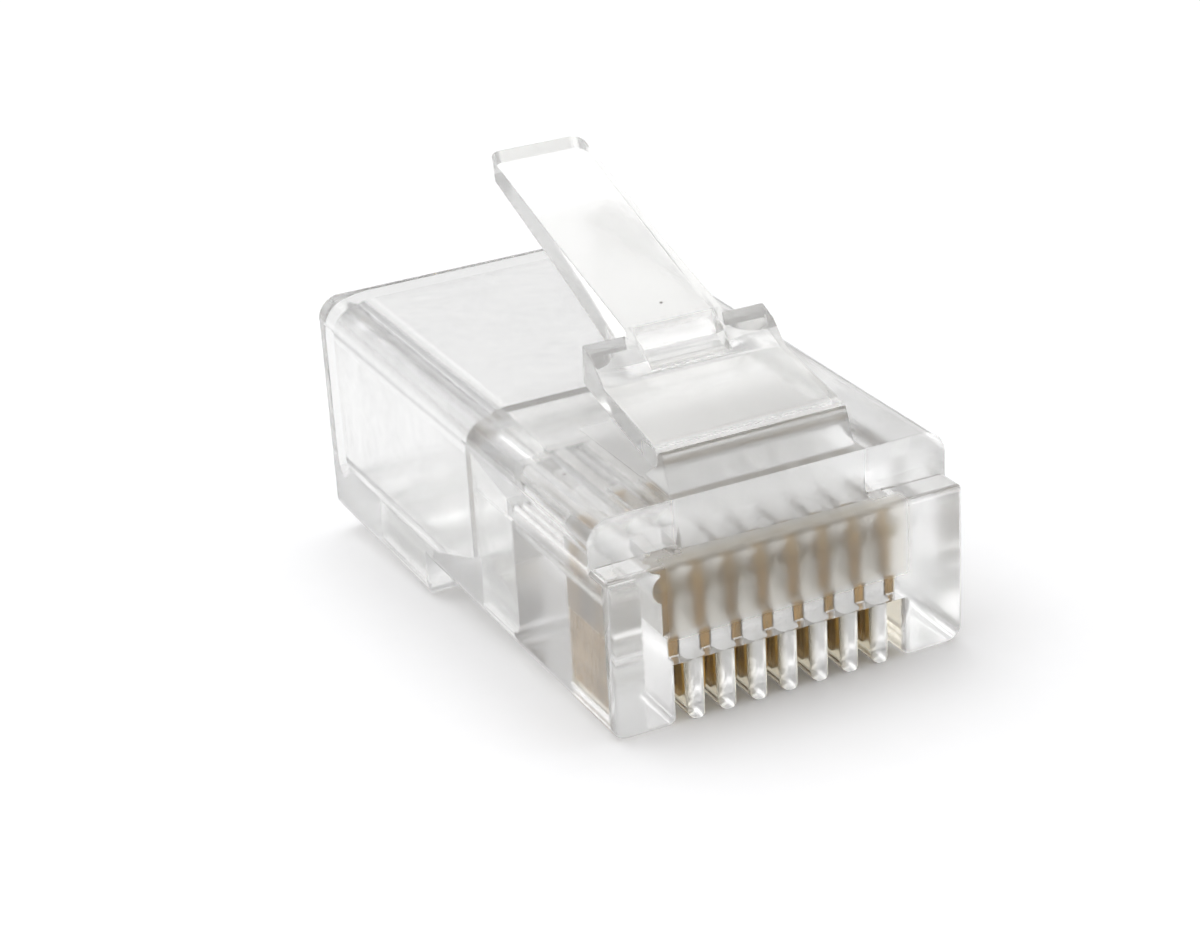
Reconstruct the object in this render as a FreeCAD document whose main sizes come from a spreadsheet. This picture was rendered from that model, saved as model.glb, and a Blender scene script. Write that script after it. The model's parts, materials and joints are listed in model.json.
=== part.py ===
import FreeCAD, Part
import os

import Sketcher

# An 8-way modular plug of the 8P8C kind (RJ45), without a cable. It lies with its latch up:
# +X runs across the plug, +Y towards the cable end, +Z up through the latch. The origin is the
# bottom centre of the whole plug, so the cable end's underside is at Z = 0.

# ----------------------------------------------------------------------------------------------
# Driving dimensions, in millimetres
# ----------------------------------------------------------------------------------------------

DIMENSIONS = [
    ("body_width", 11.68, "across the plug"),
    ("body_length", 21.4, "nose to cable end"),
    ("rear_height", 7.85, "underside of the cable end to the top face"),
    ("step_height", 1.3, "underside of the cable end up to the underside of the nose"),
    ("step_from_nose", 13.4, "nose to the step in the underside"),
    ("top_edge_radius", 0.8, "the two long edges of the top face"),
    ("bottom_edge_radius", 0.55, "the long edges of the nose's underside"),
    ("small_edge_radius", 0.2, "edges of the nose and of the cable end"),
    ("ledge_depth", 1.45, "top face down to the ledge the jack's front stops on"),
    ("ledge_setback", 1.0, "nose back to the ledge's wall"),
    ("wall_side", 1.2, "side wall beside the jacket cavity"),
    ("wall_top", 0.8, "roof over the jacket cavity"),
    ("wall_floor", 1.5, "floor under the jacket cavity"),
    ("jacket_cavity_end", 10.1, "nose to the front of the jacket cavity"),
    ("ramp_setback", 0.3, "step back to the foot of the ramp in the cavity's floor"),
    ("sill_height", 1.5, "underside of the nose up to the top of that ramp"),
    ("entry_flare", 0.45, "lead-in at the mouth of the jacket cavity"),
    ("jacket_corner", 0.7, "long inside corners of the jacket cavity"),
    ("funnel_end", 7.2, "nose to the end of the funnel"),
    ("funnel_roof_step", 0.7, "drop of the roof where the funnel begins"),
    ("channel_end", 1.3, "nose to the blind end of the conductor channels"),
    ("channel_depth", 2.55, "top face down to the channels' centre line"),
    ("channel_diameter", 0.94, "one conductor channel"),
    ("contact_count", 8, "ways"),
    ("contact_pitch", 1.02, "from one contact to the next"),
    ("contact_thickness", 0.35, "gold-plated blade"),
    ("contact_length", 2.95, "blade, along the plug"),
    ("contact_setback", 0.9, "nose back to the blade's front edge"),
    ("contact_recess", 0.2, "underside of the nose up to the blade's lower edge"),
    ("contact_shoulder", 3.95, "top face down to the blade's upper edge"),
    ("contact_tip", 1.75, "top face down to the piercing tips"),
    ("contact_nose_radius", 0.35, "lower front corner of the blade"),
    ("contact_heel_radius", 0.3, "lower rear corner of the blade"),
    ("tine_width", 0.75, "each of the two piercing tines, at its root"),
    ("tine_point", 0.12, "each tine, at its tip"),
    ("tine_taper", 0.8, "height of the tine's point"),
    ("slot_clearance", 0.025, "each side of a blade, in front of it, and over a tine"),
    ("window_top", 4.57, "top face down to the lower edge of the nose's front wall"),
    ("rib_radius", 0.25, "lower and front edges of the ribs between the slots"),
    ("rib_setback", 0.1, "front wall back to the ribs' ends"),
    ("plate_width", 6.05, "latch plate and its shoulders"),
    ("lever_width", 3.25, "latch lever"),
    ("hinge_from_nose", 2.4, "nose to the latch's bend line"),
    ("hinge_rise", 0.82, "top face up to the latch's bend line"),
    ("hinge_radius", 0.36, "rounded front end of the latch"),
    ("hinge_gap", 0.03, "between the latch's rounded end and the root that holds it"),
    ("root_foot", 0.7, "nose to the front of the latch root on the ledge"),
    ("root_front", 1.83, "nose to the front of the latch root's lip"),
    ("root_lip", 0.3, "bend line up to the top of the root's lip"),
    ("root_sink", 0.36, "ledge down to the foot of the root inside the block"),
    ("root_back", 2.95, "nose to the back of the latch root on the top face"),
    ("plate_thickness", 0.55, "latch plate"),
    ("plate_end", 6.6, "nose to the shoulders' locking faces"),
    ("plate_rise", 2.05, "top face up to the plate's upper side under the locking faces"),
    ("ear_height", 0.66, "shoulder over the plate"),
    ("ear_length", 1.35, "shoulder, along the plug"),
    ("ear_ramp", 0.7, "sloping front of the shoulder"),
    ("ear_fall", 0.4, "part of the shoulder's height lost at the top of its ramp"),
    ("lever_base_rise", 2.92, "top face up to the lever over the locking faces"),
    ("lever_bend", 10.2, "nose to the lever's bend"),
    ("lever_bend_rise", 4.0, "top face up to the lever's bend"),
    ("lever_end", 15.8, "nose to the lever's tip"),
    ("lever_end_rise", 5.8, "top face up to the lever's tip"),
    ("lever_thickness", 0.68, "lever, at its tip"),
    ("lever_belly", 1.0, "lever, at its bend"),
    ("lever_end_slope", 0.1, "how far the tip's lower edge lies in front of its upper edge"),
    ("lever_corner", 0.4, "corners of the lever's tip"),
    ("flare_radius", 1.35, "sweep from the lever's sides out to the plate"),
    ("scoop_length", 0.8, "hollow from the lever down to the plate"),
    ("scoop_rim", 0.3, "rim left at each side of that hollow"),
    ("jacket_anchor_front", 13.95, "nose to the front of the jacket anchor"),
    ("jacket_anchor_length", 4.4, "jacket anchor, along the plug"),
    ("jacket_anchor_width", 7.6, "jacket anchor"),
    ("wire_anchor_front", 7.15, "nose to the front of the wire anchor"),
    ("wire_anchor_length", 2.5, "wire anchor, along the plug"),
    ("wire_anchor_width", 8.3, "wire anchor"),
    ("wire_anchor_height", 1.75, "wire anchor"),
    ("anchor_hinge_radius", 0.4, "rounded front end of an anchor"),
    ("anchor_recess", 0.1, "underside up to an anchor's flat"),
    ("anchor_gap", 0.15, "round an anchor in its window"),
    ("anchor_tooth", 0.35, "an anchor's biting edge over its flat"),
]


class Size:
    """A length with the sheet formula that gives it, so that one sum makes both."""

    def __init__(self, value, text):
        self.value = value
        self.text = text

    def joined(self, other, sign, value):
        text = other.text if isinstance(other, Size) else repr(other)
        return Size(value, f"({self.text} {sign} {text})")

    def __add__(self, other):
        return self.joined(other, "+", self.value + number(other))

    def __sub__(self, other):
        return self.joined(other, "-", self.value - number(other))

    def __mul__(self, other):
        return self.joined(other, "*", self.value * number(other))

    def __truediv__(self, other):
        return self.joined(other, "/", self.value / number(other))

    def __neg__(self):
        return Size(-self.value, f"(-1 * {self.text})")


def number(size):
    """The plain value of a Size or of a number."""
    return size.value if isinstance(size, Size) else float(size)


doc = FreeCAD.newDocument("ModularPlug")
sheet = doc.addObject("Spreadsheet::Sheet", "Dims")
for row, (alias, value, meaning) in enumerate(DIMENSIONS, start=1):
    sheet.set(f"A{row}", meaning)
    sheet.set(f"B{row}", str(value))
    sheet.setAlias(f"B{row}", alias)
doc.recompute()


def dim(alias):
    return Size(float(sheet.get(alias)), f"Dims.{alias}")


# ----------------------------------------------------------------------------------------------
# Modelling helpers
# ----------------------------------------------------------------------------------------------

def built(item):
    """Recompute, and stop where a feature failed."""
    doc.recompute()
    if "Invalid" in item.State or "Error" in item.State or item.Shape.isNull():
        raise ValueError(f"{item.Name} failed: {item.State}")
    return item


def new_body(label):
    body = doc.addObject("PartDesign::Body", label)
    body.Label = label
    return body


def origin_plane(body, role):
    return next(item for item in body.Origin.OriginFeatures if item.Role == role)


def sketch_on(body, role, name, offset=None):
    """A sketch on one of the body's own planes, moved along the plane's normal by offset."""
    sketch = body.newObject("Sketcher::SketchObject", name)
    sketch.AttachmentSupport = [(origin_plane(body, role), "")]
    sketch.MapMode = "FlatFace"
    if offset is not None:
        sketch.setExpression("AttachmentOffset.Base.z", offset.text)
    return sketch


def pin_point(sketch, index, end, across, up):
    """Fix a sketch point at two lengths from the sketch's origin."""
    for kind, size in (("DistanceX", across), ("DistanceY", up)):
        place = sketch.addConstraint(Sketcher.Constraint(kind, -1, 1, index, end, size.value))
        sketch.setExpression(f"Constraints[{place}]", size.text)


def closed_outline(body, role, name, corners, offset=None):
    """A closed outline of straight lines; each corner is a pair of Sizes."""
    sketch = sketch_on(body, role, name, offset)
    points = [FreeCAD.Vector(a.value, b.value, 0) for a, b in corners]
    for start, end in zip(points, points[1:] + points[:1]):
        sketch.addGeometry(Part.LineSegment(start, end), False)
    count = len(points)
    for index in range(count):
        sketch.addConstraint(Sketcher.Constraint("Coincident", index, 2, (index + 1) % count, 1))
    for index, (across, up) in enumerate(corners):
        pin_point(sketch, index, 1, across, up)
    return sketch


def circle_outline(body, role, name, across, up, radius, offset=None):
    sketch = sketch_on(body, role, name, offset)
    centre = FreeCAD.Vector(across.value, up.value, 0)
    sketch.addGeometry(Part.Circle(centre, FreeCAD.Vector(0, 0, 1), radius.value), False)
    pin_point(sketch, 0, 3, across, up)
    place = sketch.addConstraint(Sketcher.Constraint("Radius", 0, radius.value))
    sketch.setExpression(f"Constraints[{place}]", radius.text)
    return sketch


def feature(body, kind, name, sketch, length, symmetric=False, reverse=False):
    """A Pad or Pocket of a sketch by a bound length."""
    item = body.newObject(kind, name)
    item.Profile = sketch
    item.SideType = "Symmetric" if symmetric else "One side"
    item.Reversed = reverse
    item.Length = length.value
    item.setExpression("Length", length.text)
    sketch.Visibility = False
    return built(item)


def pad_across(body, name, corners, width):
    """A Pad of a side outline (Y, Z), half to each side of the plug's middle."""
    sketch = closed_outline(body, "YZ_Plane", f"{name}_outline", corners)
    return feature(body, "PartDesign::Pad", name, sketch, width, symmetric=True)


def pocket_across(body, name, corners, width):
    sketch = closed_outline(body, "YZ_Plane", f"{name}_outline", corners)
    return feature(body, "PartDesign::Pocket", name, sketch, width, symmetric=True)


def round_edges(body, name, radius, wanted):
    """A Fillet on the edges of the body's last feature that wanted(edge) picks."""
    base = body.Tip
    picked = [f"Edge{n}" for n, edge in enumerate(base.Shape.Edges, start=1) if wanted(edge)]
    if not picked:
        raise ValueError(f"{name} finds no edge to round")
    item = body.newObject("PartDesign::Fillet", name)
    item.Base = (base, picked)
    item.Radius = radius.value
    item.setExpression("Radius", radius.text)
    return built(item)


def bevel_edges(body, name, size, wanted):
    base = body.Tip
    picked = [f"Edge{n}" for n, edge in enumerate(base.Shape.Edges, start=1) if wanted(edge)]
    if not picked:
        raise ValueError(f"{name} finds no edge to bevel")
    item = body.newObject("PartDesign::Chamfer", name)
    item.Base = (base, picked)
    item.Size = size.value
    item.setExpression("Size", size.text)
    return built(item)


SAME_PLACE = 0.0001     # mm, within which two lengths count as one
INSIDE_MARGIN = 0.01    # mm, allowed past a limit when an edge is looked for
STRAIGHT_SHARE = 0.999  # share of its length that a straight edge covers along its axis


def near(value, target):
    return abs(value - number(target)) < SAME_PLACE


def ends(edge):
    return [vertex.Point for vertex in edge.Vertexes]


def runs_along(edge, axis):
    """Whether an edge is straight and runs along one axis."""
    if len(edge.Vertexes) != 2:
        return False
    run = edge.Vertexes[1].Point - edge.Vertexes[0].Point
    return abs(getattr(run, axis)) > STRAIGHT_SHARE * edge.Length


def lies_at(edge, along, **place):
    """Whether an edge runs along one axis at the given x, y or z; x may be either side's."""
    if not runs_along(edge, along):
        return False
    for axis, target in place.items():
        value = getattr(edge.Vertexes[0].Point, axis)
        if not near(abs(value) if axis == "x" else value, target):
            return False
    return True


# ----------------------------------------------------------------------------------------------
# Places that several parts share
# ----------------------------------------------------------------------------------------------

half_width = dim("body_width") / 2
nose = -dim("body_length") / 2
tail = dim("body_length") / 2
top = dim("rear_height")
floor = top - dim("rear_height")
nose_floor = floor + dim("step_height")
step = nose + dim("step_from_nose")

ledge = top - dim("ledge_depth")
ledge_wall = nose + dim("ledge_setback")

hinge_y = nose + dim("hinge_from_nose")
hinge_z = top + dim("hinge_rise")

first_contact = -dim("contact_pitch") * (dim("contact_count") - 1) / 2
contact_front = nose + dim("contact_setback")
contact_back = contact_front + dim("contact_length")
contact_bottom = nose_floor + dim("contact_recess")
contact_shoulder = top - dim("contact_shoulder")
contact_tip = top - dim("contact_tip")
slot_width = dim("contact_thickness") + dim("slot_clearance") * 2

channel_z = top - dim("channel_depth")
channel_front = nose + dim("channel_end")
funnel_front = nose + dim("funnel_end")
channels_width = dim("contact_pitch") * (dim("contact_count") - 1) + dim("channel_diameter")

cavity_front = nose + dim("jacket_cavity_end")
cavity_roof = top - dim("wall_top")
cavity_floor = floor + dim("wall_floor")
cavity_width = dim("body_width") - dim("wall_side") * 2


# ----------------------------------------------------------------------------------------------
# Housing
# ----------------------------------------------------------------------------------------------

def block(body):
    """The moulded block: a low nose with a ledge on top, and a deeper cable end."""
    pad_across(body, "Nose", [
        (nose, nose_floor), (nose, ledge), (ledge_wall, ledge),
        (ledge_wall, top), (tail, top), (tail, nose_floor),
    ], dim("body_width"))
    round_edges(body, "NoseEdges", dim("bottom_edge_radius"),
                lambda edge: lies_at(edge, "y", x=half_width, z=nose_floor))
    pad_across(body, "CableEnd", [
        (step, floor), (step, nose_floor + dim("bottom_edge_radius")),
        (tail, nose_floor + dim("bottom_edge_radius")), (tail, floor),
    ], dim("body_width"))
    round_edges(body, "CableEndEdges", dim("bottom_edge_radius"),
                lambda edge: lies_at(edge, "y", x=half_width, z=floor)
                or lies_at(edge, "x", y=step, z=floor))
    round_edges(body, "TopEdges", dim("top_edge_radius"),
                lambda edge: lies_at(edge, "y", x=half_width, z=top))
    round_edges(body, "LedgeEdge", dim("small_edge_radius"),
                lambda edge: lies_at(edge, "x", y=nose, z=ledge))


def latch_root(body):
    """The upright on the ledge that carries the latch, hollowed for the latch's round end."""
    seat = dim("hinge_radius") + dim("hinge_gap")
    foot = ledge - dim("root_sink")
    pad_across(body, "LatchRoot", [
        (nose + dim("root_foot"), foot), (nose + dim("root_foot"), ledge),
        (nose + dim("root_front"), hinge_z + dim("root_lip")), (hinge_y, hinge_z - seat),
        (nose + dim("root_back"), top), (nose + dim("root_back"), foot),
    ], dim("plate_width"))
    sketch = circle_outline(body, "YZ_Plane", "LatchSeat_outline", hinge_y, hinge_z, seat)
    feature(body, "PartDesign::Pocket", "LatchSeat", sketch, dim("body_width"), symmetric=True)


def cable_entry(body):
    """The jacket cavity from the cable end, and the funnel that gathers the conductors."""
    flare = dim("entry_flare")
    sill = nose_floor + dim("sill_height")
    pocket_across(body, "JacketCavity", [
        (tail + flare, cavity_roof), (cavity_front, cavity_roof), (cavity_front, sill),
        (step + dim("ramp_setback"), cavity_floor), (tail + flare, cavity_floor),
    ], cavity_width)
    round_edges(body, "JacketCorners", dim("jacket_corner"),
                lambda edge: (lies_at(edge, "y", x=cavity_width / 2, z=cavity_roof)
                              or lies_at(edge, "y", x=cavity_width / 2, z=cavity_floor)))
    bevel_edges(body, "EntryFlare", flare, mouth_edge)
    funnel_roof = cavity_roof - dim("funnel_roof_step")
    channel_reach = dim("channel_diameter") / 2
    pocket_across(body, "Funnel", [
        (cavity_front, funnel_roof), (funnel_front, channel_z + channel_reach),
        (funnel_front, channel_z - channel_reach), (cavity_front, sill),
    ], channels_width)


def mouth_edge(edge):
    """An edge of the cavity's mouth, in the plug's rear face."""
    if not all(near(point.y, tail) for point in ends(edge)):
        return False
    middle = edge.valueAt((edge.FirstParameter + edge.LastParameter) / 2)
    across = abs(middle.x) < number(cavity_width) / 2 + INSIDE_MARGIN
    lowest = number(cavity_floor) - INSIDE_MARGIN
    return across and lowest < middle.z < number(cavity_roof) + INSIDE_MARGIN


def row_of(body, name, original):
    """The same feature again at every way of the plug."""
    row = body.newObject("PartDesign::LinearPattern", name)
    row.Originals = [original]
    row.Direction = (origin_plane(body, "X_Axis"), [""])
    reach = dim("contact_pitch") * (dim("contact_count") - 1)
    row.Length = reach.value
    row.setExpression("Length", reach.text)
    row.Occurrences = int(number(dim("contact_count")))
    row.setExpression("Occurrences", "Dims.contact_count")
    body.Tip = row
    return built(row)


def conductor_channels(body):
    sketch = circle_outline(body, "XZ_Plane", "Channel_outline", first_contact, channel_z,
                            dim("channel_diameter") / 2, offset=-funnel_front)
    channel = feature(body, "PartDesign::Pocket", "Channel", sketch,
                      funnel_front - channel_front, reverse=True)
    row_of(body, "Channels", channel)


def slot_outline(body, name, roof, back):
    """The first slot, open at the nose's underside, seen from the nose."""
    left = first_contact - slot_width / 2
    right = first_contact + slot_width / 2
    mouth = nose_floor - dim("rib_radius")
    return closed_outline(body, "XZ_Plane", name, [
        (left, mouth), (left, roof), (right, roof), (right, mouth),
    ], offset=-back)


def contact_slots(body):
    """A comb of slots: behind the front wall for the blades, open below it to the jack."""
    left = first_contact - slot_width / 2
    right = first_contact + slot_width / 2
    sketch = slot_outline(body, "BladeSlot_outline", contact_shoulder, contact_back)
    blade = feature(body, "PartDesign::Pocket", "BladeSlot", sketch,
                    dim("contact_length") + dim("slot_clearance"), reverse=True)
    row_of(body, "BladeSlots", blade)
    window_roof = top - dim("window_top")
    sketch = slot_outline(body, "FrontSlot_outline", window_roof, contact_front)
    front = feature(body, "PartDesign::Pocket", "FrontSlot", sketch, dim("contact_setback"),
                    reverse=True)
    row_of(body, "FrontSlots", front)
    tine_roof = contact_tip + dim("slot_clearance")
    sketch = closed_outline(body, "XZ_Plane", "TineSlot_outline", [
        (left, contact_shoulder - dim("slot_clearance")), (left, tine_roof),
        (right, tine_roof), (right, contact_shoulder - dim("slot_clearance")),
    ], offset=-contact_back)
    tines = feature(body, "PartDesign::Pocket", "TineSlot", sketch,
                    contact_back - channel_front, reverse=True)
    row_of(body, "TineSlots", tines)


def rib_ends(body):
    """The ribs end a little behind the front wall, whose lower edge shows as a line."""
    window_roof = top - dim("window_top")
    reach = dim("contact_pitch") * (dim("contact_count") - 1) + slot_width
    over = dim("rib_radius")
    pocket_across(body, "RibEnds", [
        (nose - over, nose_floor - over), (nose - over, window_roof),
        (nose + dim("rib_setback"), window_roof), (nose + dim("rib_setback"), nose_floor - over),
    ], reach)
    round_edges(body, "RibEdges", dim("rib_radius"), rib_edge)
    round_edges(body, "NoseCorners", dim("small_edge_radius"),
                lambda edge: lies_at(edge, "z", x=half_width, y=nose))


def rib_edge(edge):
    """An edge down the end of one of the ribs, or along its foot."""
    front = nose + dim("rib_setback")
    if not (lies_at(edge, "y", z=nose_floor) or lies_at(edge, "z", y=front)):
        return False
    place = ends(edge)[0]
    comb = number(channels_width) / 2
    return abs(place.x) < comb and min(point.y for point in ends(edge)) < number(contact_back)


# ----------------------------------------------------------------------------------------------
# Latch
# ----------------------------------------------------------------------------------------------

plate_end = nose + dim("plate_end")
plate_top = top + dim("plate_rise")
plate_slope = ((dim("plate_rise") - dim("hinge_rise") - dim("hinge_radius"))
               / (dim("plate_end") - dim("hinge_from_nose")))
plate_bottom = plate_top - dim("plate_thickness")
lever_tip = nose + dim("lever_end")
lever_top = top + dim("lever_end_rise")
lever_bend = nose + dim("lever_bend")
lever_belly = top + dim("lever_bend_rise") - dim("lever_belly")
belly_slope = (lever_belly - plate_bottom) / (lever_bend - plate_end)


def latch_plate(body):
    """The plate from the bend line to the shoulders, round at the bend line."""
    sketch = circle_outline(body, "YZ_Plane", "Bend_outline", hinge_y, hinge_z,
                            dim("hinge_radius"))
    feature(body, "PartDesign::Pad", "Bend", sketch, dim("plate_width"), symmetric=True)
    pad_across(body, "Plate", [
        (hinge_y, hinge_z - dim("hinge_radius")), (hinge_y, hinge_z + dim("hinge_radius")),
        (plate_end, plate_top), (plate_end, plate_bottom),
    ], dim("plate_width"))


def latch_shoulders(body):
    """The two shoulders that lock behind the jack, ramped at the front."""
    ramp_foot = plate_end - dim("ear_length")
    crest = plate_top + dim("ear_height")
    pad_across(body, "Shoulders", [
        (ramp_foot, plate_bottom), (ramp_foot, plate_top - plate_slope * dim("ear_length")),
        (ramp_foot + dim("ear_ramp"), crest - dim("ear_height") * dim("ear_fall")),
        (plate_end, crest), (plate_end, plate_bottom),
    ], dim("plate_width"))


def latch_flare(body):
    """A thin web behind the shoulders that sweeps in to the lever's sides."""
    reach = dim("flare_radius")
    web = dim("plate_thickness")
    pad_across(body, "FlareWeb", [
        (plate_end, plate_bottom), (plate_end, plate_bottom + web),
        (plate_end + reach, plate_bottom + belly_slope * reach + web),
        (plate_end + reach, plate_bottom + belly_slope * reach),
    ], dim("plate_width"))
    for side, way in (("Left", -1), ("Right", 1)):
        across = (dim("lever_width") / 2 + reach) * way
        sketch = circle_outline(body, "XY_Plane", f"Flare{side}_outline", across,
                                plate_end + reach, reach)
        feature(body, "PartDesign::Pocket", f"Flare{side}", sketch, lever_top * 2,
                symmetric=True)


def latch_lever_bar(body):
    """The lever: straight from the shoulders to a slight bend, then up to its tip."""
    foot = plate_end - dim("scoop_length")
    foot_top = plate_top - plate_slope * dim("scoop_length")
    tip_bottom = lever_top - dim("lever_thickness")
    pad_across(body, "Lever", [
        (foot, foot_top - dim("plate_thickness") / 2), (foot, foot_top),
        (plate_end, top + dim("lever_base_rise")),
        (lever_bend, top + dim("lever_bend_rise")), (lever_tip, lever_top),
        (lever_tip - dim("lever_end_slope"), tip_bottom), (lever_bend, lever_belly),
        (plate_end, plate_bottom),
    ], dim("lever_width"))
    sketch = circle_outline(body, "YZ_Plane", "Scoop_outline", foot,
                            foot_top + dim("scoop_length"), dim("scoop_length"))
    feature(body, "PartDesign::Pocket", "Scoop", sketch,
            dim("lever_width") - dim("scoop_rim") * 2, symmetric=True)
    round_edges(body, "TipCorners", dim("lever_corner"), tip_corner)


def tip_corner(edge):
    """An upright edge at one of the tip's two corners."""
    places = ends(edge)
    at_side = all(near(abs(place.x), dim("lever_width") / 2) for place in places)
    start = number(lever_tip - dim("lever_end_slope")) - INSIDE_MARGIN
    at_tip = all(place.y > start for place in places)
    return at_side and at_tip and near(places[0].x, places[1].x)


# ----------------------------------------------------------------------------------------------
# Anchors that the crimping tool presses onto the cable
# ----------------------------------------------------------------------------------------------

class Anchor:
    """Where an anchor lies: its bend line, its far end and its height over the underside."""

    def __init__(self, front, length, width, underside, height):
        radius = dim("anchor_hinge_radius")
        self.width = width
        self.outside = underside
        self.underside = underside + dim("anchor_recess")
        self.bend_y = nose + front + radius
        self.bend_z = self.underside + radius
        self.end = nose + front + length
        self.crest = underside + height


jacket_anchor_place = Anchor(dim("jacket_anchor_front"), dim("jacket_anchor_length"),
                             dim("jacket_anchor_width"), floor,
                             dim("wall_floor") + dim("anchor_tooth"))
wire_anchor_place = Anchor(dim("wire_anchor_front"), dim("wire_anchor_length"),
                           dim("wire_anchor_width"), nose_floor, dim("wire_anchor_height"))


def anchor_window(body, name, place, above):
    """A window through the housing's floor, with a rounded seat for the anchor's bend."""
    gap = dim("anchor_gap")
    seat = dim("anchor_hinge_radius") + dim("hinge_gap")
    pocket_across(body, name, [
        (place.bend_y, place.outside - gap), (place.bend_y, place.bend_z),
        (place.bend_y - seat, place.bend_z), (place.bend_y - seat, above),
        (place.end + gap, above), (place.end + gap, place.outside - gap),
    ], place.width + gap * 2)
    sketch = circle_outline(body, "YZ_Plane", f"{name}Seat_outline", place.bend_y,
                            place.bend_z, seat)
    feature(body, "PartDesign::Pocket", f"{name}Seat", sketch, place.width + gap * 2,
            symmetric=True)


def anchor_bar(body, place):
    """The anchor: round at its bend, flat below, with a biting edge at its far end."""
    radius = dim("anchor_hinge_radius")
    tooth = dim("anchor_tooth")
    sketch = circle_outline(body, "YZ_Plane", "Bend_outline", place.bend_y, place.bend_z, radius)
    feature(body, "PartDesign::Pad", "Bend", sketch, place.width, symmetric=True)
    pad_across(body, "Bar", [
        (place.bend_y, place.underside), (place.bend_y, place.bend_z + radius),
        (place.bend_y + radius * 2, place.crest - tooth),
        (place.end - tooth * 2, place.crest - tooth), (place.end - tooth, place.crest),
        (place.end, place.crest - tooth), (place.end, place.underside),
    ], place.width)


# ----------------------------------------------------------------------------------------------
# Contacts
# ----------------------------------------------------------------------------------------------

def tine(root):
    """The outline of one piercing tine, from its front root to its back root."""
    width = dim("tine_width")
    neck = contact_tip - dim("tine_taper")
    return [
        (root, contact_shoulder), (root, neck),
        (root + width / 2 - dim("tine_point") / 2, contact_tip),
        (root + width / 2 + dim("tine_point") / 2, contact_tip),
        (root + width, neck), (root + width, contact_shoulder),
    ]


def contact_blade(body):
    """A stamped blade with two tines, seated against the roof of its slot."""
    gap = dim("slot_clearance")
    first = channel_front + gap
    second = contact_back - dim("tine_width") - gap
    outline = [(contact_front, contact_bottom), (contact_front, contact_shoulder)]
    outline += tine(first) + tine(second)
    outline += [(contact_back, contact_shoulder), (contact_back, contact_bottom)]
    pad_across(body, "Blade", outline, dim("contact_thickness"))
    round_edges(body, "BladeNose", dim("contact_nose_radius"),
                lambda edge: lies_at(edge, "x", y=contact_front, z=contact_bottom))
    round_edges(body, "BladeHeel", dim("contact_heel_radius"),
                lambda edge: lies_at(edge, "x", y=contact_back, z=contact_bottom))


# ----------------------------------------------------------------------------------------------
# The plug
# ----------------------------------------------------------------------------------------------

housing = new_body("housing")
block(housing)
latch_root(housing)
cable_entry(housing)
conductor_channels(housing)
contact_slots(housing)
rib_ends(housing)
anchor_window(housing, "JacketWindow", jacket_anchor_place, cavity_floor + dim("anchor_gap"))
anchor_window(housing, "WireWindow", wire_anchor_place, channel_z)

latch_lever = new_body("latch_lever")
latch_plate(latch_lever)
latch_shoulders(latch_lever)
latch_flare(latch_lever)
latch_lever_bar(latch_lever)

jacket_anchor = new_body("jacket_anchor")
anchor_bar(jacket_anchor, jacket_anchor_place)
wire_anchor = new_body("wire_anchor")
anchor_bar(wire_anchor, wire_anchor_place)

pieces = [housing, latch_lever, jacket_anchor, wire_anchor]
for way in range(int(number(dim("contact_count")))):
    contact = new_body(f"contact_{way + 1}")
    contact_blade(contact)
    place = first_contact + dim("contact_pitch") * way
    contact.setExpression("Placement.Base.x", place.text)
    pieces.append(contact)

doc.recompute()
for item in doc.Objects:
    if "Invalid" in item.State or "Error" in item.State:
        raise ValueError(f"{item.Name} failed: {item.State}")
for piece in pieces:
    shape = piece.Shape
    if shape.isNull() or not shape.isValid() or len(shape.Solids) != 1:
        raise ValueError(f"{piece.Label} is not one valid solid")

os.makedirs("parts", exist_ok=True)
for piece in pieces:
    piece.Shape.exportStep(f"parts/{piece.Label}.step")
    print(piece.Label, round(piece.Shape.Volume, 3), "mm3")
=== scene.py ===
# %% [markdown]
# # A clear RJ45 modular plug
# The real plug is one moulding of clear polycarbonate with eight gold plated blades pressed
# into slots at its nose. The CAD model already has every solid at its true size. This lesson
# dresses those solids: it rounds their edges as a mould does, and builds the two finishes that
# make the plug look real, clear plastic and gold.

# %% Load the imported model
import json
import math
import bmesh
import bpy
from mathutils import Matrix, Vector


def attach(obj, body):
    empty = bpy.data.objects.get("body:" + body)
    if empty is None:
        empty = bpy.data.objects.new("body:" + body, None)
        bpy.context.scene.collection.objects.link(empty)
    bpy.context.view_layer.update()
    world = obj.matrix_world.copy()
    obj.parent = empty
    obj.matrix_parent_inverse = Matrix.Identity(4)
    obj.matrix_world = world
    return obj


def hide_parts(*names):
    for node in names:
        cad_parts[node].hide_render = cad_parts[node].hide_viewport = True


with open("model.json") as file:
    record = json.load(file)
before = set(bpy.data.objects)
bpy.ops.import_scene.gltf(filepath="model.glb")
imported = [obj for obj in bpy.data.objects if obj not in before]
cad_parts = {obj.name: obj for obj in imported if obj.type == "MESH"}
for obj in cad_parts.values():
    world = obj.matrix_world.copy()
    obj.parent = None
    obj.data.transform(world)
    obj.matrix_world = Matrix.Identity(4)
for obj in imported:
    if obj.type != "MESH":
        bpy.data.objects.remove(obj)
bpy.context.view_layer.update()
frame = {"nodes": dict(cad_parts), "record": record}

MM = 0.001  # a millimetre in metres, which is what the scene is measured in
scene = bpy.context.scene
nodes = frame["nodes"]
body_of = {name: body for body, members in frame["record"]["behaviour"]["bodies"].items()
           for name in members}
bpy.ops.object.select_all(action="DESELECT")
print("solids:", {name: body_of[name] for name in sorted(nodes)})

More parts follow.
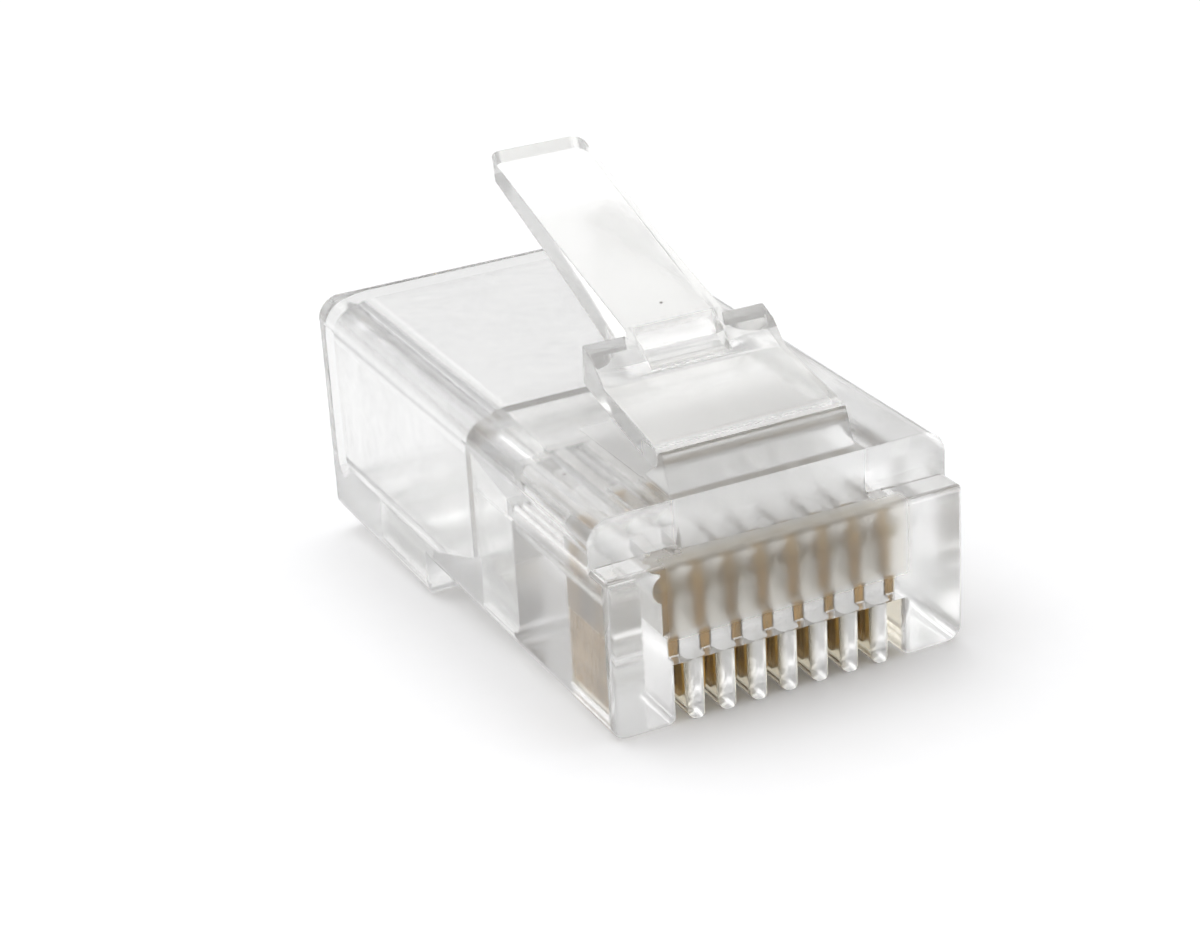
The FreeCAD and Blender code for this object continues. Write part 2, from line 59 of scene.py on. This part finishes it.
# %% [markdown]
# ## The camera
# The plug is about two centimetres long and is seen from close by, a little above and to the
# left of its nose. A long lens keeps its long edges nearly parallel. Three vectors place the
# camera: where it stands, where it looks, and which way is up in the view. They could be three
# turns instead, but vectors can be read and changed one by one. Depth of field stays off, so
# that every face is sharp from every side.

# %% Place the camera
eye = Vector((-34.15, -71.45, 40.75)) * MM
looking = Vector((0.3842, 0.8222, -0.4199)).normalized()
view_up = Vector((0.232, 0.3543, 0.9059))
across = looking.cross(view_up).normalized()
upward = across.cross(looking).normalized()

camera_data = bpy.data.cameras.new("camera")
camera_data.sensor_fit = "HORIZONTAL"
camera_data.sensor_width = 36.0
camera_data.lens = 82.5
camera_data.clip_start = 1.0 * MM
camera_data.clip_end = 10.0
camera = bpy.data.objects.new("camera", camera_data)
facing = Matrix((across, upward, -looking)).transposed()
camera.matrix_world = Matrix.Translation(eye) @ facing.to_4x4()
scene.collection.objects.link(camera)
scene.camera = camera
print("camera at", [round(v / MM, 2) for v in eye], "mm")

# %% [markdown]
# ## Where the plug rests
# An empty plug is heavier at its nose, because the gold plated blades are there. It tips
# forward until it rests on the nose's feet and on the step where the deeper cable end begins.
# The model must stay level, so the table is tipped under it instead. Its slope comes from
# those two lines, measured on the housing's own points.

# %% Measure the two lines that it rests on
NOSE_REACH = 1.0 * MM  # how far back from the front the nose's feet are looked for
SAME_HEIGHT = 0.01 * MM

points = [vertex.co for vertex in nodes["housing"].data.vertices]
front_y = min(point.y for point in points)
feet = [point for point in points if point.y < front_y + NOSE_REACH]
feet_z = min(point.z for point in feet)
sole_z = min(point.z for point in points)
feet_y = min(point.y for point in feet if point.z < feet_z + SAME_HEIGHT)
sole_y = min(point.y for point in points if point.z < sole_z + SAME_HEIGHT)
table_slope = math.atan2(feet_z - sole_z, sole_y - feet_y)
print("rests on y =", round(feet_y / MM, 2), "and", round(sole_y / MM, 2),
      "mm, tipped by", round(math.degrees(table_slope), 2), "degrees")

# %% [markdown]
# ## The table
# A plain pale sheet. It is a grid because a floor never needs more than a flat face, but a few
# divisions keep its shading even far out. Its mesh is moved, and not its object.

# %% Make the table
TABLE_SIDE = 3.0

bpy.ops.mesh.primitive_grid_add(x_subdivisions=8, y_subdivisions=8, size=TABLE_SIDE)
table = bpy.context.object
table.name = "table"
table.data.transform(Matrix.Translation((0.0, sole_y, sole_z))
                     @ Matrix.Rotation(-table_slope, 4, "X"))
table.select_set(False)
print("table has", len(table.data.polygons), "faces and is", TABLE_SIDE, "m wide")

# %% [markdown]
# ## Light
# Clear plastic has no colour of its own. It shows its edges only where the room that it bends
# and mirrors is darker than the table, so the room is kept at half the table's brightness. A
# broad soft window behind the plug makes the table white and draws the shadow that joins the
# plug to it, and a weak one in front lightens the nose. Area lamps would do as well, but a sun
# lamp with a wide disc gives the same soft light wherever the plug stands.

# %% Light the room
room = bpy.data.worlds.new("room")
scene.world = room
room.use_nodes = True
room_light = room.node_tree.nodes["Background"]
room_light.inputs["Color"].default_value = (0.99, 0.99, 1.0, 1.0)
room_light.inputs["Strength"].default_value = 0.50


def soft_window(name, towards, strength, spread):
    """A far soft light that comes from one direction and fills some degrees of the sky."""
    data = bpy.data.lights.new(name, "SUN")
    data.energy = strength
    data.angle = math.radians(spread)
    lamp = bpy.data.objects.new(name, data)
    lamp.rotation_euler = Vector(towards).to_track_quat("Z", "Y").to_euler()
    scene.collection.objects.link(lamp)
    print(name, "has strength", strength, "and is", spread, "degrees wide")


soft_window("window_behind", (-0.16, 0.44, 1.0), 2.00, 76)
soft_window("window_in_front", (0.60, -0.20, 1.0), 0.25, 50)

# %% [markdown]
# ## How far light is followed
# A look into the comb of slots passes dozens of clear walls, and some light runs round inside
# the plastic many times. A render that stops too early leaves black holes there, so the
# numbers of bounces are raised well over the usual ones. Standard view keeps the colours as
# they are written.

# %% Let light through many walls
scene.view_settings.view_transform = "Standard"
scene.cycles.max_bounces = 96
scene.cycles.transmission_bounces = 96
scene.cycles.glossy_bounces = 64
scene.cycles.transparent_max_bounces = 64
print("light is followed through", scene.cycles.max_bounces, "bounces")

# %% [markdown]
# ## Small tools for shader nodes
# Every finish below is a handful of nodes. They could be dragged together in the shader editor,
# but a list of them can be run again. One helper adds a node, sets its options, and fills its
# sockets with either a value or a link, so that each finish reads as a short recipe.

# %% Node helpers
def fill(tree, node, sockets):
    """Give each named socket its value or its link."""
    for socket, value in sockets.items():
        if isinstance(value, bpy.types.NodeSocket):
            tree.links.new(value, node.inputs[socket])
        else:
            node.inputs[socket].default_value = value
    return node


def put(tree, kind, sockets=None, **options):
    """Add a shader node, set its options, and fill its sockets."""
    node = tree.nodes.new("ShaderNode" + kind)
    for option, value in options.items():
        setattr(node, option, value)
    return fill(tree, node, sockets or {})


def tell(tree, name):
    """Print how many nodes a finish or a group has."""
    print(name, "has", len(tree.nodes), "nodes")

# %% [markdown]
# ## White beyond the table
# From low down the eye looks past the table's far edge, and should meet plain white there. The
# Light Path node tells rays apart, so that only a look sees the white, and the light on the plug
# stays as it is. A look through the clear plastic sees a little of that white. A wall behind the
# table would need light of its own.

# %% Make the backdrop white
SHARE_THROUGH_PLASTIC = 0.15

backdrop = room.node_tree
ray = put(backdrop, "LightPath")
through_plastic = put(backdrop, "Math", {0: ray.outputs["Is Transmission Ray"],
                                         1: SHARE_THROUGH_PLASTIC}, operation="MULTIPLY")
looks = put(backdrop, "Math", {0: ray.outputs["Is Camera Ray"], 1: through_plastic.outputs[0]},
            operation="MAXIMUM")
white = put(backdrop, "Background", {"Color": (1.0, 1.0, 1.0, 1.0), "Strength": 1.0})
seen = put(backdrop, "MixShader", {0: looks.outputs[0], 1: room_light.outputs["Background"],
                                   2: white.outputs["Background"]})
backdrop.links.new(seen.outputs["Shader"], backdrop.nodes["World Output"].inputs["Surface"])
tell(backdrop, "backdrop")

# %% [markdown]
# ## Handling marks, shared by every finish
# Nothing that is handled stays perfectly even. Two noises, one broad and one fine, give a haze
# between 0 and 1 and a very small height. Both finishes and the table use the same group with
# their own sizes, so the effect is built once. Scales are in waves per metre.

# %% Build the handling group
def empty_group(name, inputs, outputs):
    """A shader node group with named sockets, and the nodes at its two ends."""
    tree = bpy.data.node_groups.new(name, "ShaderNodeTree")
    for label, kind, value in inputs:
        socket = tree.interface.new_socket(label, in_out="INPUT", socket_type=kind)
        if value is not None:
            socket.default_value = value
    for label, kind in outputs:
        tree.interface.new_socket(label, in_out="OUTPUT", socket_type=kind)
    return tree, tree.nodes.new("NodeGroupInput"), tree.nodes.new("NodeGroupOutput")


handling, given, result = empty_group(
    "handling_marks",
    [("Place", "NodeSocketVector", None), ("Broad Scale", "NodeSocketFloat", 400.0),
     ("Fine Scale", "NodeSocketFloat", 5000.0), ("Fine Share", "NodeSocketFloat", 0.4)],
    [("Haze", "NodeSocketFloat"), ("Height", "NodeSocketFloat")])
broad = put(handling, "TexNoise", {"Vector": given.outputs["Place"],
                                   "Scale": given.outputs["Broad Scale"], "Detail": 3.0})
fine = put(handling, "TexNoise", {"Vector": given.outputs["Place"],
                                  "Scale": given.outputs["Fine Scale"], "Detail": 2.0})
blend = put(handling, "Mix", {"Factor": given.outputs["Fine Share"],
                              "A": broad.outputs["Fac"], "B": fine.outputs["Fac"]})
stretch = put(handling, "MapRange", {"Value": blend.outputs["Result"],
                                     "From Min": 0.35, "From Max": 0.65})
handling.links.new(stretch.outputs["Result"], result.inputs["Haze"])
handling.links.new(blend.outputs["Result"], result.inputs["Height"])
tell(handling, "handling_marks")

# %% [markdown]
# ## Specks of dust
# A clear plug that has lain about carries a few dark specks. Voronoi cells give one point in
# each small cube of space. A speck is drawn close round the point, and only in the few cells
# whose random colour is high enough, so that they stay rare.

# %% Build the dust group
dust, given, result = empty_group(
    "dust_specks",
    [("Place", "NodeSocketVector", None), ("Cells", "NodeSocketFloat", 620.0),
     ("Speck Size", "NodeSocketFloat", 0.035), ("Rarity", "NodeSocketFloat", 0.86)],
    [("Mask", "NodeSocketFloat")])
cells = put(dust, "TexVoronoi", {"Vector": given.outputs["Place"],
                                 "Scale": given.outputs["Cells"]})
near_point = put(dust, "Math", {0: cells.outputs["Distance"], 1: given.outputs["Speck Size"]},
                 operation="LESS_THAN")
chance = put(dust, "SeparateColor", {"Color": cells.outputs["Color"]})
rare = put(dust, "Math", {0: chance.outputs["Red"], 1: given.outputs["Rarity"]},
           operation="GREATER_THAN")
both = put(dust, "Math", {0: near_point.outputs[0], 1: rare.outputs[0]}, operation="MULTIPLY")
dust.links.new(both.outputs[0], result.inputs["Mask"])
tell(dust, "dust_specks")

# %% [markdown]
# ## Boxes in the plastic
# Parts of a mould have different finishes, and each one leaves its own on the plastic. Every
# such part fills a box, so a node group turns a place into a mask: 1 inside the box, and 0 a
# little way outside it.

# %% Build the box group
box_mask, given, result = empty_group(
    "box_mask",
    [("Place", "NodeSocketVector", None), ("Middle", "NodeSocketVector", (0.0, 0.0, 0.0)),
     ("Half Size", "NodeSocketVector", (1.0, 1.0, 1.0)), ("Softness", "NodeSocketFloat", 0.0001)],
    [("Mask", "NodeSocketFloat")])
offset = put(box_mask, "VectorMath", {0: given.outputs["Place"], 1: given.outputs["Middle"]},
             operation="SUBTRACT")
distance = put(box_mask, "VectorMath", {0: offset.outputs["Vector"]}, operation="ABSOLUTE")
outside = put(box_mask, "VectorMath", {0: distance.outputs["Vector"],
                                       1: given.outputs["Half Size"]}, operation="SUBTRACT")
sides = put(box_mask, "SeparateXYZ", {"Vector": outside.outputs["Vector"]})
widest = put(box_mask, "Math", {0: sides.outputs["X"], 1: sides.outputs["Y"]},
             operation="MAXIMUM")
furthest = put(box_mask, "Math", {0: widest.outputs[0], 1: sides.outputs["Z"]},
               operation="MAXIMUM")
mask = put(box_mask, "MapRange", {"Value": furthest.outputs[0], "From Min": 0.0,
                                  "From Max": given.outputs["Softness"],
                                  "To Min": 1.0, "To Max": 0.0})
box_mask.links.new(mask.outputs["Result"], result.inputs["Mask"])
tell(box_mask, "box_mask")

# %% [markdown]
# ## The matt parts of the mould
# A matt wall blurs what lies behind it. Matt here are the core pins of the conductor channels
# and slots, the insert round the latch's root, the panel above the slots, the top face under
# the latch, and the underside of the latch, which a slide in the mould forms. Each box is given
# by two corners in millimetres from the middle, the nose's front and the underside. How matt a
# part is goes with it as a strength, and the strongest part wins.

# %% Helpers for materials
def empty_material(name):
    """A material without any nodes, and its tree."""
    material = bpy.data.materials.new(name)
    material.use_nodes = True
    material.node_tree.nodes.clear()
    return material, material.node_tree


def place_group(tree, group, sockets):
    """Add a node group and fill its sockets."""
    node = tree.nodes.new("ShaderNodeGroup")
    node.node_tree = group
    return fill(tree, node, sockets)

# %% Mark the matt parts
plastic, tree = empty_material("clear_polycarbonate")
texture_space = put(tree, "TexCoord")
where = texture_space.outputs["Object"]


def box_at(low, high, **softness):
    """The mask of a box between two corners."""
    start = Vector((0.0, front_y, 0.0))
    low = Vector(low) * MM + start
    high = Vector(high) * MM + start
    return place_group(tree, box_mask, {"Place": where, "Middle": (low + high) / 2,
                                        "Half Size": (high - low) / 2, **softness})


cores = box_at((-4.2, 0.6, 3.9), (4.2, 7.5, 6.3))
insert = box_at((-3.1, 0.3, 6.2), (3.1, 2.9, 8.9))
front_panel = box_at((-3.7, -0.2, 4.3), (3.7, 0.3, 6.4), Softness=0.4 * MM)
under_latch = box_at((-3.1, 2.9, 7.7), (3.1, 6.8, 8.0))
above_roof = box_at((-4.0, 1.0, 8.1), (4.0, 17.0, 15.0))
facing = put(tree, "SeparateXYZ", {"Vector": texture_space.outputs["Normal"]})
facing_down = put(tree, "MapRange", {"Value": facing.outputs["Z"],
                                     "From Min": -0.3, "From Max": -0.8})
slide = put(tree, "Math", {0: above_roof.outputs["Mask"], 1: facing_down.outputs["Result"]},
            operation="MULTIPLY")

matt_parts = slide.outputs[0]
for part, strength in ((cores, 1.0), (under_latch, 1.0), (insert, 0.55), (front_panel, 1.0)):
    share = put(tree, "Math", {0: part.outputs["Mask"], 1: strength}, operation="MULTIPLY")
    matt_parts = put(tree, "Math", {0: matt_parts, 1: share.outputs[0]},
                     operation="MAXIMUM").outputs[0]
tell(tree, "the mask of matt parts")

# %% [markdown]
# ## The plastic's polish and tint
# A moulded face is glossy but never a mirror, so its roughness wanders a little with the
# handling marks. Polycarbonate has hardly any colour. Round the slots it is painted brown, a
# painted reflection of the gold contacts that it mirrors over and over, and the panel above the
# slots is painted a paler brown, a painted reflection of the gold seen through it. The latch and
# all above the roof are painted a touch greyer, as painted shade. Each tint is laid over the one
# before with its own mask, and the dust comes last.

# %% Mix the polish and the tints
CLEAREST = (0.985, 0.985, 0.978, 1.0)
HAZIEST = (0.965, 0.967, 0.965, 1.0)
# painted reflections of the gold contacts: brown round the slots, paler brown on the panel above
# them
PAINTED_CONTACT_REFLECTION = (0.82, 0.75, 0.58, 1.0)
PAINTED_PANEL_REFLECTION = (0.93, 0.89, 0.80, 1.0)
# painted shade: the latch and all above the roof are made a touch greyer
PAINTED_LATCH_SHADE = (0.955, 0.955, 0.945, 1.0)
DUST_BROWN = (0.08, 0.07, 0.06, 1.0)
MATT_ROUGHNESS = 0.45

marks = place_group(tree, handling, {"Place": where, "Broad Scale": 350.0, "Fine Scale": 2600.0})
specks = place_group(tree, dust, {"Place": where})
polish = put(tree, "MapRange", {"Value": marks.outputs["Haze"], "To Min": 0.11, "To Max": 0.19})
finish = put(tree, "Mix", {"Factor": matt_parts, "A": polish.outputs["Result"],
                           "B": MATT_ROUGHNESS})
tint = put(tree, "Mix", {"Factor": marks.outputs["Haze"], "A": CLEAREST, "B": HAZIEST},
           data_type="RGBA")
# the box among the blades' tines, where the brown painted reflection of the contacts is laid
tine_rooms = box_at((-4.1, 0.2, 1.4), (4.1, 4.1, 5.2))
# the layers before the dust are painted reflections of the contacts and painted shade on the
# latch
for layer, colour in ((tine_rooms, PAINTED_CONTACT_REFLECTION), (front_panel, PAINTED_PANEL_REFLECTION),
                      (above_roof, PAINTED_LATCH_SHADE), (specks, DUST_BROWN)):
    tint = put(tree, "Mix", {"Factor": layer.outputs["Mask"], "A": tint.outputs["Result"],
                             "B": colour}, data_type="RGBA")
tell(tree, "clear_polycarbonate with its tints")

# %% [markdown]
# ## Clear polycarbonate
# Clear plastic is the Principled shader with almost full transmission. The little that is
# missing is the faint milkiness of a moulding that was never polished by hand. A mix of glass
# and gloss shaders could do the same, but this one shader also survives an export. Light from
# lamps would stop at the plastic, so for shadow rays the surface is a plain half clear one, and
# the plug throws the pale shadow of a clear thing.

# %% Put the clear plastic together
REFRACTION = 1.58  # polycarbonate's own
HALF_CLEAR = (0.60, 0.58, 0.555, 1.0)

ripple = put(tree, "Bump", {"Strength": 0.12, "Distance": 0.02 * MM,
                            "Height": marks.outputs["Height"]})
clear = put(tree, "BsdfPrincipled", {
    "Base Color": tint.outputs["Result"], "Roughness": finish.outputs["Result"],
    "IOR": REFRACTION, "Transmission Weight": 0.97, "Normal": ripple.outputs["Normal"]})
through = put(tree, "BsdfTransparent", {"Color": HALF_CLEAR})
ray = put(tree, "LightPath")
surface = put(tree, "MixShader", {0: ray.outputs["Is Shadow Ray"], 1: clear.outputs["BSDF"],
                                  2: through.outputs["BSDF"]})
put(tree, "OutputMaterial", {"Surface": surface.outputs["Shader"]})
tell(tree, "clear_polycarbonate")

# %% [markdown]
# ## Gold plate
# The blades are stamped from sheet and plated. Stamping drags fine lines along the cut, so the
# noise is squeezed along one axis. The plate is warm gold on the faces and browner where it is
# thin, and never mirror bright.

# %% Build the gold
BRIGHT_GOLD = (0.60, 0.37, 0.09, 1.0)
THIN_GOLD = (0.28, 0.18, 0.05, 1.0)
ALONG_THE_CUT = (1.0, 1.0, 0.12)

gold, tree = empty_material("gold_plated_contact")
where = put(tree, "TexCoord").outputs["Object"]
drawn = put(tree, "Mapping", {"Vector": where, "Scale": ALONG_THE_CUT})
marks = place_group(tree, handling, {"Place": drawn.outputs["Vector"], "Broad Scale": 900.0,
                                     "Fine Scale": 9000.0, "Fine Share": 0.5})
plate = put(tree, "Mix", {"Factor": marks.outputs["Haze"], "A": BRIGHT_GOLD, "B": THIN_GOLD},
            data_type="RGBA")
sheen = put(tree, "MapRange", {"Value": marks.outputs["Haze"], "To Min": 0.18, "To Max": 0.34})
lines = put(tree, "Bump", {"Strength": 0.15, "Distance": 0.01 * MM,
                           "Height": marks.outputs["Height"]})
metal = put(tree, "BsdfPrincipled", {
    "Base Color": plate.outputs["Result"], "Metallic": 1.0,
    "Roughness": sheen.outputs["Result"], "Normal": lines.outputs["Normal"]})
put(tree, "OutputMaterial", {"Surface": metal.outputs["BSDF"]})
tell(tree, "gold_plated_contact")

# %% [markdown]
# ## Paper for the table
# A plain pale surface, with just enough unevenness that it doesn't look like empty space. Seen
# through the plastic it glows close to white, because a look that is bent by many walls should
# still end on a bright sheet. A brighter lamp would do that too, but would change the plug.

# %% Build the paper
PAPER = (0.935, 0.935, 0.94, 1.0)
PAPER_SHADE = (0.925, 0.926, 0.93, 1.0)
GLOW_THROUGH_PLASTIC = 0.8

paper, tree = empty_material("pale_table")
where = put(tree, "TexCoord").outputs["Object"]
marks = place_group(tree, handling, {"Place": where, "Broad Scale": 40.0, "Fine Scale": 900.0})
shade = put(tree, "Mix", {"Factor": marks.outputs["Haze"], "A": PAPER, "B": PAPER_SHADE},
            data_type="RGBA")
matt = put(tree, "BsdfPrincipled", {"Base Color": shade.outputs["Result"], "Roughness": 0.7})
glow = put(tree, "Emission", {"Color": (1.0, 1.0, 1.0, 1.0), "Strength": 0.96})
ray = put(tree, "LightPath")
share = put(tree, "Math", {0: ray.outputs["Is Transmission Ray"], 1: GLOW_THROUGH_PLASTIC},
            operation="MULTIPLY")
sheet = put(tree, "MixShader", {0: share.outputs[0], 1: matt.outputs["BSDF"],
                                2: glow.outputs["Emission"]})
put(tree, "OutputMaterial", {"Surface": sheet.outputs["Shader"]})
table.data.materials.append(paper)
tell(tree, "pale_table")

# %% [markdown]
# ## A copy of a solid
# The CAD solids stay as they are, and each visible piece starts as a copy of one. A solid comes
# as loose triangles, so the copy's corners are merged first, and then its faces are made to
# point outwards, because the clear plastic bends light the wrong way through a face that
# doesn't.

# %% Helpers that copy a solid
SAME_POINT = 0.0001 * MM


def work_on(piece):
    """Select one object alone, enter edit mode, and select all of its mesh."""
    bpy.ops.object.select_all(action="DESELECT")
    piece.select_set(True)
    bpy.context.view_layer.objects.active = piece
    bpy.ops.object.mode_set(mode="EDIT")
    bpy.ops.mesh.select_all(action="SELECT")


def joined_copy(node_name, piece_name):
    """A copy of a solid whose loose triangles share their corners."""
    piece = bpy.data.objects.new(piece_name, nodes[node_name].data.copy())
    scene.collection.objects.link(piece)
    work_on(piece)
    bpy.ops.mesh.customdata_custom_splitnormals_clear()
    bpy.ops.mesh.remove_doubles(threshold=SAME_POINT)
    bpy.ops.mesh.normals_make_consistent(inside=False)
    bpy.ops.object.mode_set(mode="OBJECT")
    return piece

# %% [markdown]
# ## Rounded edges
# A solid from CAD has knife edges where no rounding was drawn, but a moulding never does, and on
# clear plastic the tiny rounding is what draws the bright and dark lines along every edge. The
# triangles of one plane are dissolved into one face, so that only real edges are left, and the
# longer sharp ones are bevelled. A Bevel modifier could round them too, but here each edge can
# be picked by its place, and those that would run into their neighbours stay sharp.

# %% Helper that rounds edges
ONE_PLANE = math.radians(0.5)
SHARP = math.radians(50)


def round_long_edges(piece, radius, shortest, allowed=lambda middle: True):
    """Bevel the edges that are sharp, long enough, and allowed by their middle point."""
    work_on(piece)
    bpy.ops.mesh.dissolve_limited(angle_limit=ONE_PLANE)
    bpy.ops.mesh.select_mode(type="EDGE")
    bpy.ops.mesh.select_all(action="DESELECT")
    mesh = bmesh.from_edit_mesh(piece.data)
    for edge in mesh.edges:
        middle = (edge.verts[0].co + edge.verts[1].co) / 2
        if (len(edge.link_faces) == 2 and edge.calc_length() > shortest
                and edge.calc_face_angle() > SHARP and allowed(middle)):
            edge.select_set(True)
    bmesh.update_edit_mesh(piece.data)
    bpy.ops.mesh.bevel(offset=radius, segments=2, clamp_overlap=False)
    bpy.ops.mesh.select_all(action="SELECT")
    bpy.ops.mesh.remove_doubles(threshold=SAME_POINT)
    bpy.ops.object.mode_set(mode="OBJECT")

# %% [markdown]
# ## Smooth shading and a place on a body
# The roundings are only two faces wide. Smooth shading makes them look round, and weighted
# normals keep the large flats beside them flat. Then the piece gets its material and rides on
# its body's empty, and the solid that it stands in for is hidden.

# %% Helper that finishes a piece
SMOOTH = math.radians(40)


def smooth_finish(piece, material, node_name):
    """Smooth the roundings, keep the flats flat, give the material, ride on the body, and hide
    the solid.
    """
    bpy.ops.object.shade_smooth_by_angle(angle=SMOOTH)
    flats = piece.modifiers.new("flats", "WEIGHTED_NORMAL")
    flats.keep_sharp = True
    bpy.ops.object.modifier_apply(modifier="flats")
    piece.data.materials.clear()
    piece.data.materials.append(material)
    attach(piece, body_of[node_name])
    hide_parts(node_name)
    print(piece.name, "has", len(piece.data.polygons), "faces and rides on", body_of[node_name])

# %% [markdown]
# ## The housing
# The one big moulding: the nose with its comb of slots, and the hollow cable end. It could be
# modelled again from a box, but the solid already has every slot and channel in its place, so a
# rounded copy of it is truer. The cores of the channels and slots, and the thin web at the front
# of the wire anchor's window, keep their sharp edges.

# %% Dress the housing
MOULDED_EDGE = 0.06 * MM
LATCH_EDGE = 0.05 * MM
SHORTEST_MOULDED = 0.3 * MM


def outside_cores(middle):
    """Whether a point lies outside the cores and the thin web."""
    back = middle.y - front_y
    in_cores = (abs(middle.x) < 4.3 * MM and 4.2 * MM < middle.z < 6.6 * MM
                and 1.0 * MM < back < 10.2 * MM)
    thin_web = middle.z < 2.0 * MM and 7.0 * MM < back < 8.2 * MM
    return not in_cores and not thin_web


housing = joined_copy("housing", "clear_housing")
round_long_edges(housing, MOULDED_EDGE, SHORTEST_MOULDED, outside_cores)
smooth_finish(housing, plastic, "housing")

# %% [markdown]
# ## The latch
# A springy tongue: a plate at the front, two shoulders that lock behind the jack, and the lever
# that a thumb presses. It is moulded with the housing, but it bends, so it is a piece of its
# own that rides on its own body. Its edges are finer than the housing's.

# %% Dress the latch
latch = joined_copy("latch_lever", "clear_latch")
round_long_edges(latch, LATCH_EDGE, SHORTEST_MOULDED)
smooth_finish(latch, plastic, "latch_lever")

# %% [markdown]
# ## The two anchors
# Bars in the underside that the crimping tool presses onto the cable's jacket and its wires.
# Both are made alike, so one loop dresses them.

# %% Dress the anchors
for node_name in ("jacket_anchor", "wire_anchor"):
    anchor = joined_copy(node_name, "clear_" + node_name)
    round_long_edges(anchor, MOULDED_EDGE, SHORTEST_MOULDED)
    smooth_finish(anchor, plastic, node_name)

# %% [markdown]
# ## The contacts
# Eight blades of stamped sheet with two piercing tines each. A stamped edge is slightly round.
# Where a blade is seated, its face and the housing's face are in the same place, and a renderer
# can't tell which comes first. Each blade is shrunk by a hundredth of a millimetre, which is
# also the thin film of air that really separates them.

# %% Dress the contacts
STAMPED_EDGE = 0.03 * MM
SHORTEST_STAMPED = 0.1 * MM
AIR_FILM = 0.01 * MM

for node_name in sorted(name for name in nodes if name.startswith("contact_")):
    blade = joined_copy(node_name, "gold_" + node_name)
    round_long_edges(blade, STAMPED_EDGE, SHORTEST_STAMPED)
    work_on(blade)
    bpy.ops.transform.shrink_fatten(value=-AIR_FILM)
    bpy.ops.object.mode_set(mode="OBJECT")
    smooth_finish(blade, gold, node_name)
